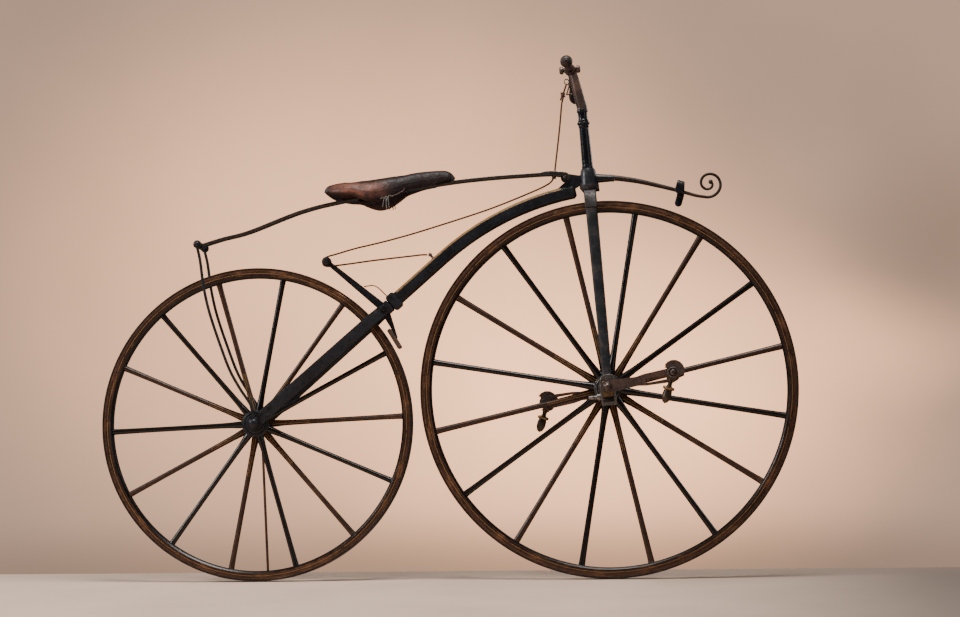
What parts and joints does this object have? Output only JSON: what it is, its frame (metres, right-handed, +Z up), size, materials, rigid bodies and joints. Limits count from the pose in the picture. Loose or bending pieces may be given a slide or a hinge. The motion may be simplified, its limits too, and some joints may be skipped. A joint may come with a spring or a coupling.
{
  "type": "velocipede",
  "caption": "Pedal velocipede with spoked wooden wheels in line, cranks on the front axle, steered fork, leaf spring saddle, cord brake and leg rest, leaning on a prop rod.",
  "frame": {"origin": "middle of the box's base, on the floor under the machine", "axes": "+X the way the machine rolls, +Y to its left, +Z up; the machine leans three degrees to +Y"},
  "size_m": [1.7466, 0.5615, 1.289],
  "materials": {
    "tyre_iron": "worn dark iron, brown with old rust",
    "felloe_wood": "old varnished ash with a gold line",
    "spoke_wood": "dark painted and worn wood",
    "black_iron": "blue-black paint, worn at the edges",
    "bare_iron": "bare forged iron, handled",
    "rusty_iron": "rust-brown bare iron",
    "brass": "dull old brass",
    "leather": "dark brown, rubbed and creased",
    "grip_wood": "turned wood, dark with handling",
    "cord": "reddish brown laid cord",
    "spring_steel": "dark leaf with grey worn edges"
  },
  "bodies": {
    "frame": {"backbone": "black_iron", "backbone_collar": "black_iron", "rear_fork_left": "black_iron", "rear_fork_right": "black_iron", "rear_axle": "black_iron", "seat_spring": "spring_steel", "spring_rear_pin": "black_iron", "spring_front_pin": "black_iron", "strut_left": "black_iron", "strut_right": "black_iron", "saddle_leather": "leather", "saddle_flap": "leather", "brake_lever": "black_iron", "brake_pivot": "black_iron", "brake_shoe": "black_iron", "brake_return_wire": "bare_iron", "brake_cord": "cord", "cord_guide": "black_iron", "cord_stud": "black_iron", "leg_rest_rod": "black_iron", "leg_rest_strap": "black_iron", "prop_rod": "rusty_iron"},
    "steering_fork": {"fork_crown": "black_iron", "fork_blade_left": "black_iron", "fork_blade_right": "black_iron", "fork_bearing_left": "bare_iron", "fork_bearing_right": "bare_iron", "bearing_brass_left": "brass", "bearing_brass_right": "brass", "steering_column": "black_iron", "handlebar_stem": "rusty_iron", "handlebar": "rusty_iron", "grip_left": "grip_wood", "grip_right": "grip_wood", "brake_cord_top": "cord"},
    "front_wheel": {"front_tyre": "tyre_iron", "front_felloe": "felloe_wood", "front_spokes": "spoke_wood", "front_flange_left": "black_iron", "front_flange_right": "black_iron", "front_axle": "bare_iron", "crank_left": "rusty_iron", "crank_right": "rusty_iron", "pedal_pin_left": "bare_iron", "pedal_pin_right": "bare_iron"},
    "rear_wheel": {"rear_tyre": "tyre_iron", "rear_felloe": "felloe_wood", "rear_spokes": "spoke_wood", "rear_flange_left": "black_iron", "rear_flange_right": "black_iron"},
    "pedal_right": {"pedal_tread_right": "rusty_iron", "pedal_weight_right": "brass"},
    "pedal_left": {"pedal_tread_left": "rusty_iron", "pedal_weight_left": "brass"}
  },
  "joints": [
    {"name": "steering", "type": "hinge", "parent": "frame", "child": "steering_fork", "pos_m": [0.40325, -0.04055, 0.47014], "axis": [-0.0802, 0.0522, 0.9954], "range_deg": [-35, 35]},
    {"name": "front_wheel_turn", "type": "hinge", "parent": "steering_fork", "child": "front_wheel", "pos_m": [0.40325, -0.04055, 0.47014], "axis": [0, 0.9986, -0.0523], "continuous": true},
    {"name": "rear_wheel_turn", "type": "hinge", "parent": "frame", "child": "rear_wheel", "pos_m": [-0.48025, -0.04458, 0.39325], "axis": [0, 0.9986, -0.0523], "continuous": true},
    {"name": "pedal_right_turn", "type": "hinge", "parent": "front_wheel", "child": "pedal_right", "pos_m": [0.56387, -0.0391, 0.49785], "axis": [0, 0.9986, -0.0523], "continuous": true},
    {"name": "pedal_left_turn", "type": "hinge", "parent": "front_wheel", "child": "pedal_left", "pos_m": [0.24263, -0.042, 0.44244], "axis": [0, 0.9986, -0.0523], "continuous": true}
  ]
}
